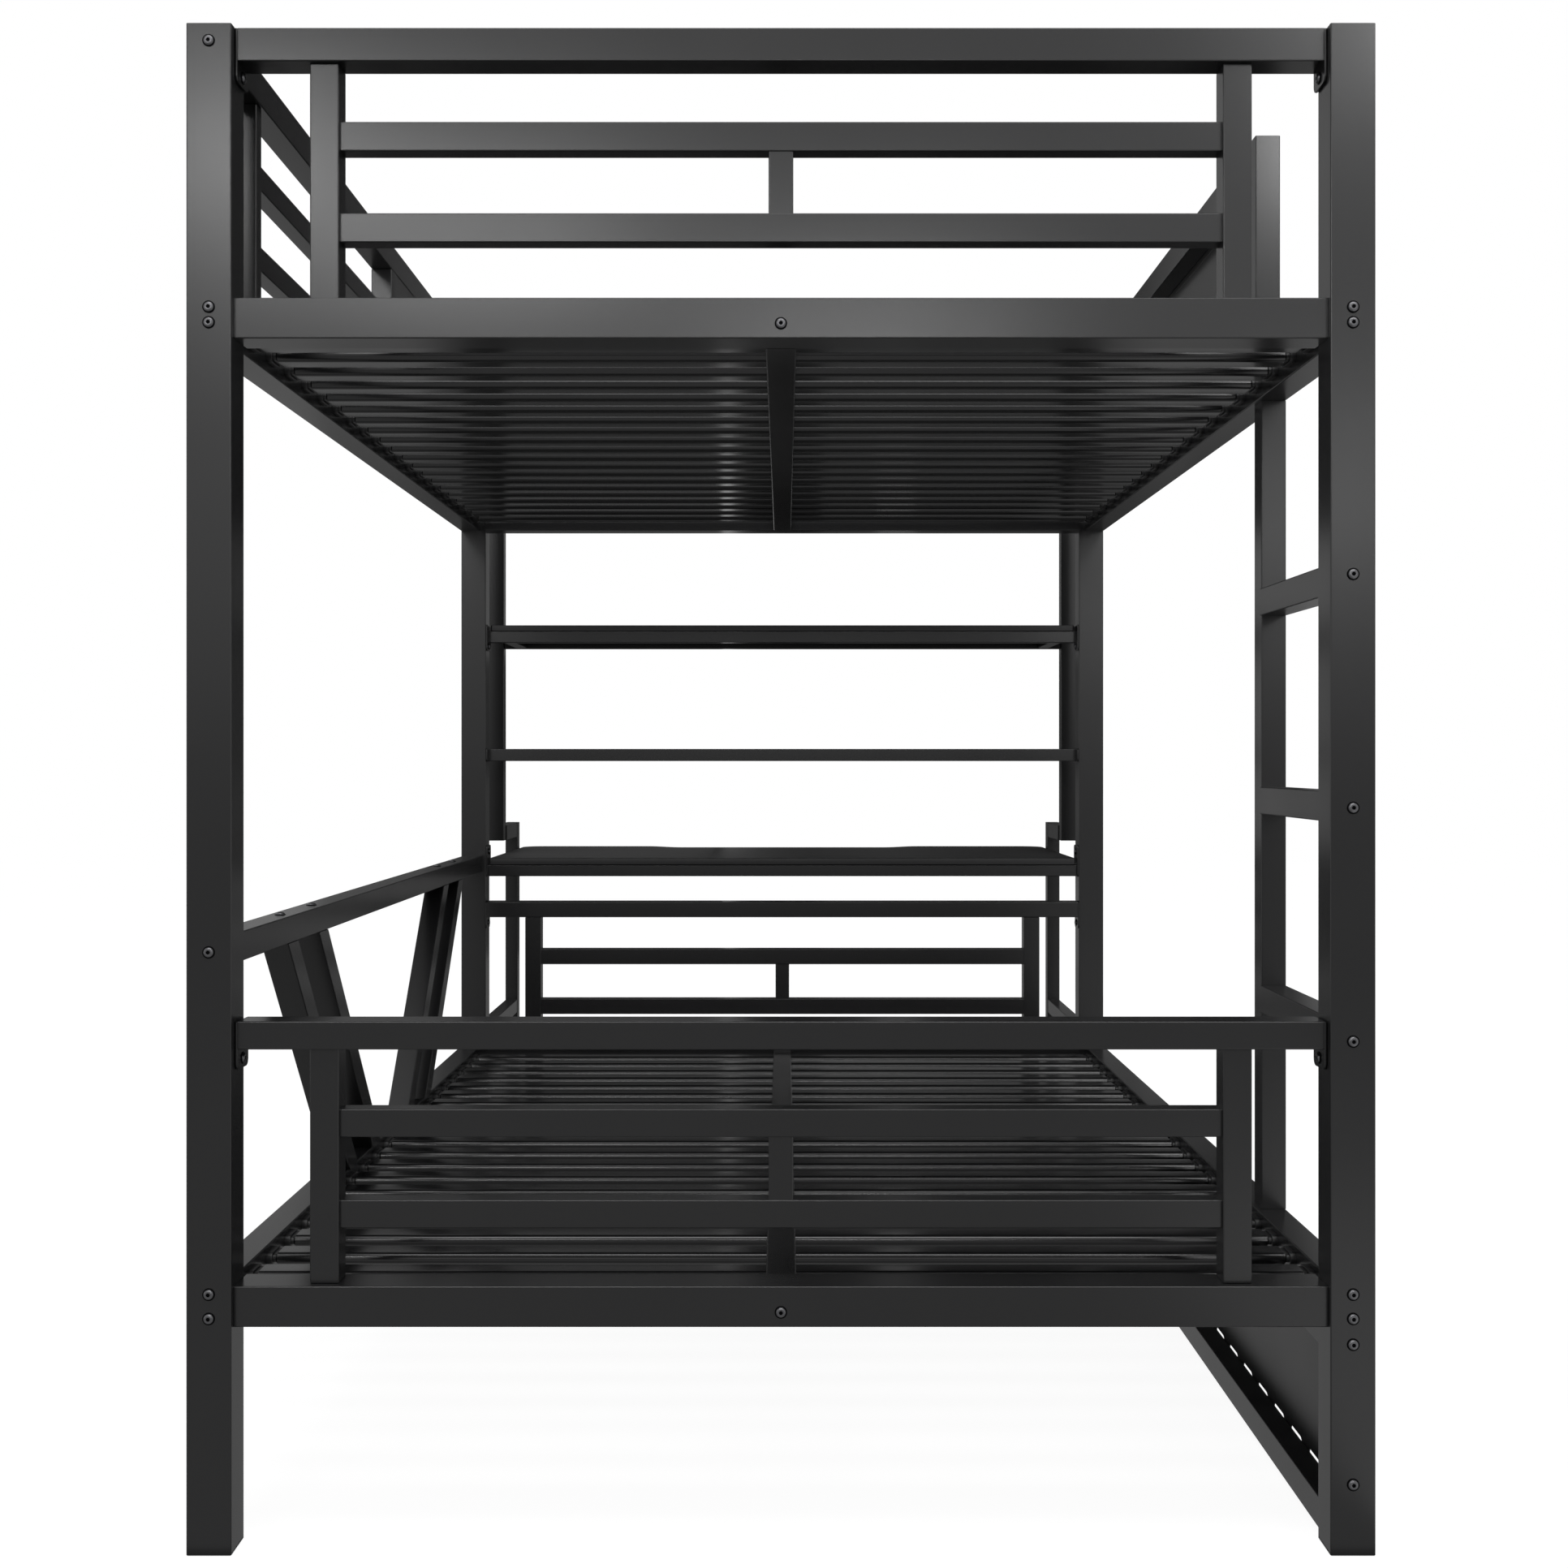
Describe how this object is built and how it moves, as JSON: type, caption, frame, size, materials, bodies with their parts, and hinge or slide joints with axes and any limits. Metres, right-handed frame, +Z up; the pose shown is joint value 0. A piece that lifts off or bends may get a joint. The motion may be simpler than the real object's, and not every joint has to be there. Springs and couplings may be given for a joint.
{
  "type": "bunk bed with desk",
  "caption": "Metal bunk bed on four square posts, with slatted bunks, guard rails, a side ladder, a sheet panel near the floor, and a desk with shelves at the far end.",
  "frame": {"origin": "on the floor, under the middle of the whole footprint, desk included", "axes": "+X to the right side, where the ladder is; +Y along the bed from the near end to the desk; +Z up"},
  "size_m": [1.42, 2.5616, 1.83],
  "materials": {
    "steel_tube": "black satin powder coat",
    "steel_sheet": "black satin powder coat",
    "laminate_board": "dark matte laminate on particle board",
    "plastic_foot": "black moulded plastic"
  },
  "bodies": {
    "root": {"brace_rail": "steel_tube", "brace_strut_1": "steel_tube", "brace_strut_2": "steel_tube", "brace_strut_3": "steel_tube", "brace_strut_4": "steel_tube", "desk_front_rail": "steel_tube", "desk_left_foot": "plastic_foot", "desk_left_side_frame": "steel_tube", "desk_rear_rail": "steel_tube", "desk_right_foot": "plastic_foot", "desk_right_side_frame": "steel_tube", "desk_top": "laminate_board", "far_left_foot": "plastic_foot", "far_left_post": "steel_tube", "far_lower_end_rail": "steel_tube", "far_lower_infill": "steel_tube", "far_lower_top_rail": "steel_tube", "far_right_foot": "plastic_foot", "far_right_post": "steel_tube", "far_upper_end_rail": "steel_tube", "far_upper_infill": "steel_tube", "far_upper_top_rail": "steel_tube", "ladder_post": "steel_tube", "ladder_rung_1": "steel_tube", "ladder_rung_2": "steel_tube", "ladder_rung_3": "steel_tube", "left_guard_grille": "steel_tube", "left_guard_top_rail": "steel_tube", "lower_left_side_rail": "steel_tube", "lower_right_side_rail": "steel_tube", "lower_shelf_board": "laminate_board", "lower_shelf_frame": "steel_tube", "lower_slat_deck": "steel_tube", "near_left_foot": "plastic_foot", "near_left_post": "steel_tube", "near_lower_end_rail": "steel_tube", "near_lower_infill": "steel_tube", "near_lower_top_rail": "steel_tube", "near_right_foot": "plastic_foot", "near_right_post": "steel_tube", "near_upper_end_rail": "steel_tube", "near_upper_infill": "steel_tube", "near_upper_top_rail": "steel_tube", "panel_floor_rail": "steel_tube", "panel_top_rail": "steel_tube", "right_guard_sheet": "steel_sheet", "right_guard_top_rail": "steel_tube", "right_guard_upright": "steel_tube", "shelf_left_lower_upright": "steel_tube", "shelf_left_upper_upright": "steel_tube", "shelf_right_lower_upright": "steel_tube", "shelf_right_upper_upright": "steel_tube", "under_bed_sheet": "steel_sheet", "upper_left_side_rail": "steel_tube", "upper_right_side_rail": "steel_tube", "upper_shelf_board": "laminate_board", "upper_shelf_frame": "steel_tube", "upper_slat_deck": "steel_tube"}
  },
  "joints": []
}
